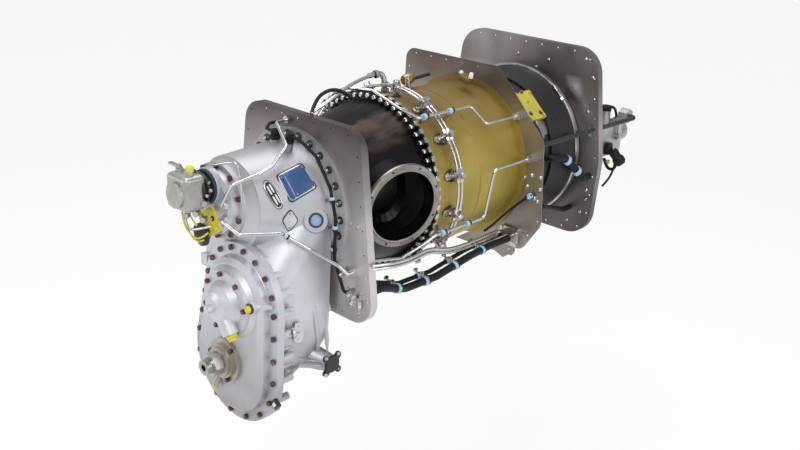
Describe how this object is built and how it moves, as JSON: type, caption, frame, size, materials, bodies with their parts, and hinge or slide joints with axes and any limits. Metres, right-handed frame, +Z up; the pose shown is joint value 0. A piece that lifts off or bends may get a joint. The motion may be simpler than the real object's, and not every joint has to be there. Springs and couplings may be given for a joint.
{
  "type": "turboshaft engine",
  "caption": "Reverse-flow turboshaft engine with an offset reduction gearbox, twin exhaust ports, three firewall plates and an accessory gearbox.",
  "frame": {"origin": "centre of the front end of the output shaft", "axes": "+Y runs aft along the shafts, +Z is up, +X is the side towards the picture's camera"},
  "size_m": [0.585, 1.664, 0.842],
  "materials": {
    "gearbox_paint": "satin",
    "dark_casting": "satin",
    "sheet_steel": "brushed",
    "stained_steel": "satin",
    "case_coating": "satin",
    "bright_steel": "satin",
    "tube_steel": "polished",
    "gear_steel": "ground",
    "hot_alloy": "satin",
    "light_alloy": "satin",
    "retainer_bronze": "satin",
    "black_rubber": "matte",
    "seal_blue": "matte",
    "cap_yellow": "gloss",
    "bolt_red": "satin",
    "screen_mesh": "matte"
  },
  "bodies": {
    "engine": {"gearbox_rear_housing": "gearbox_paint", "gearbox_front_cover": "gearbox_paint", "nose_housing": "gearbox_paint", "accessory_drive_cover": "gearbox_paint", "governor_adapter": "dark_casting", "governor_gasket": "seal_blue", "governor_body": "light_alloy", "output_seal_retainer": "retainer_bronze", "ring_gear": "gear_steel", "gearbox_bearings": "bright_steel", "engine_bearings": "bright_steel", "gearbox_bolts": "bolt_red", "flange_bolts": "bright_steel", "mount_pads": "dark_casting", "front_firewall": "sheet_steel", "middle_firewall": "sheet_steel", "rear_firewall": "sheet_steel", "exhaust_duct": "stained_steel", "turbine_shaft_housing": "hot_alloy", "turbine_shroud": "hot_alloy", "turbine_vanes": "hot_alloy", "combustion_liner": "hot_alloy", "gas_generator_case": "case_coating", "igniter_plugs": "bright_steel", "fuel_nozzles": "bright_steel", "fuel_manifold": "tube_steel", "diffuser_case": "light_alloy", "compressor_casing": "light_alloy", "inlet_case": "dark_casting", "inlet_screen": "screen_mesh", "screen_clamp": "bright_steel", "bleed_valve_cover": "cap_yellow", "accessory_gearbox_housing": "light_alloy", "accessory_gearbox_cover": "light_alloy", "fuel_pump": "light_alloy", "fuel_control_unit": "light_alloy", "air_lines": "tube_steel", "hoses": "black_rubber", "hose_unit": "bright_steel", "pipe_clamps": "seal_blue", "gearbox_pipes": "tube_steel", "electrical_harness": "black_rubber", "control_rod": "dark_casting", "transit_caps": "cap_yellow"},
    "power_turbine": {"power_turbine_rotor": "hot_alloy", "power_turbine_shaft": "gear_steel"},
    "planet_carrier": {"planet_carrier": "gear_steel"},
    "planet_1": {"planet_gear_1": "gear_steel"},
    "planet_2": {"planet_gear_2": "gear_steel"},
    "planet_3": {"planet_gear_3": "gear_steel"},
    "idler": {"idler_gearshaft": "gear_steel"},
    "output": {"output_gearshaft": "gear_steel", "output_nut": "bright_steel"},
    "governor_drive": {"governor_drive_gear": "gear_steel"},
    "gas_generator": {"compressor_rotor": "hot_alloy", "gas_turbine_disc": "hot_alloy"},
    "starter_drive": {"starter_drive_gear": "gear_steel"},
    "pump_drive": {"pump_drive_gear": "gear_steel"},
    "governor_arm": {"governor_lever": "bright_steel"},
    "power_arm": {"power_lever": "bright_steel"}
  },
  "joints": [
    {"name": "power_turbine_spin", "type": "hinge", "parent": "engine", "child": "power_turbine", "pos_m": [0, 0.45, 0.36], "axis": [0, 1, 0], "continuous": true},
    {"name": "planet_carrier_spin", "type": "hinge", "parent": "engine", "child": "planet_carrier", "pos_m": [0, 0.2, 0.36], "axis": [0, 1, 0], "continuous": true},
    {"name": "planet_1_spin", "type": "hinge", "parent": "planet_carrier", "child": "planet_1", "pos_m": [0, 0.25, 0.426], "axis": [0, 1, 0], "continuous": true},
    {"name": "planet_2_spin", "type": "hinge", "parent": "planet_carrier", "child": "planet_2", "pos_m": [-0.05716, 0.25, 0.327], "axis": [0, 1, 0], "continuous": true},
    {"name": "planet_3_spin", "type": "hinge", "parent": "planet_carrier", "child": "planet_3", "pos_m": [0.05716, 0.25, 0.327], "axis": [0, 1, 0], "continuous": true},
    {"name": "idler_spin", "type": "hinge", "parent": "engine", "child": "idler", "pos_m": [0.02319, 0.18, 0.16336], "axis": [0, 1, 0], "continuous": true},
    {"name": "output_spin", "type": "hinge", "parent": "engine", "child": "output", "pos_m": [0, 0.13, 0], "axis": [0, 1, 0], "continuous": true},
    {"name": "governor_drive_spin", "type": "hinge", "parent": "engine", "child": "governor_drive", "pos_m": [-0.04481, 0.127, 0.43457], "axis": [0, 1, 0], "continuous": true},
    {"name": "gas_generator_spin", "type": "hinge", "parent": "engine", "child": "gas_generator", "pos_m": [0, 0.9, 0.36], "axis": [0, 1, 0], "continuous": true},
    {"name": "starter_drive_spin", "type": "hinge", "parent": "engine", "child": "starter_drive", "pos_m": [0, 1.268, 0.46], "axis": [0, 1, 0], "continuous": true},
    {"name": "pump_drive_spin", "type": "hinge", "parent": "engine", "child": "pump_drive", "pos_m": [0.10271, 1.268, 0.33817], "axis": [0, 1, 0], "continuous": true},
    {"name": "governor_arm_hinge", "type": "hinge", "parent": "engine", "child": "governor_arm", "pos_m": [-0.07081, 0.002, 0.48557], "axis": [0, 0, 1], "range_deg": [-30, 30]},
    {"name": "power_arm_hinge", "type": "hinge", "parent": "engine", "child": "power_arm", "pos_m": [0.177, 1.5, 0.35], "axis": [1, 0, 0], "range_deg": [-60, 20]}
  ],
  "couplings": [
    {"joint": "planet_carrier_spin", "follows": "power_turbine_spin", "ratio": 0.27273},
    {"joint": "planet_1_spin", "follows": "power_turbine_spin", "ratio": -0.87273},
    {"joint": "planet_2_spin", "follows": "power_turbine_spin", "ratio": -0.87273},
    {"joint": "planet_3_spin", "follows": "power_turbine_spin", "ratio": -0.87273},
    {"joint": "idler_spin", "follows": "power_turbine_spin", "ratio": -0.27273},
    {"joint": "output_spin", "follows": "power_turbine_spin", "ratio": 0.15584},
    {"joint": "governor_drive_spin", "follows": "power_turbine_spin", "ratio": -0.29221},
    {"joint": "starter_drive_spin", "follows": "gas_generator_spin", "ratio": -0.66667},
    {"joint": "pump_drive_spin", "follows": "gas_generator_spin", "ratio": -0.61538}
  ]
}
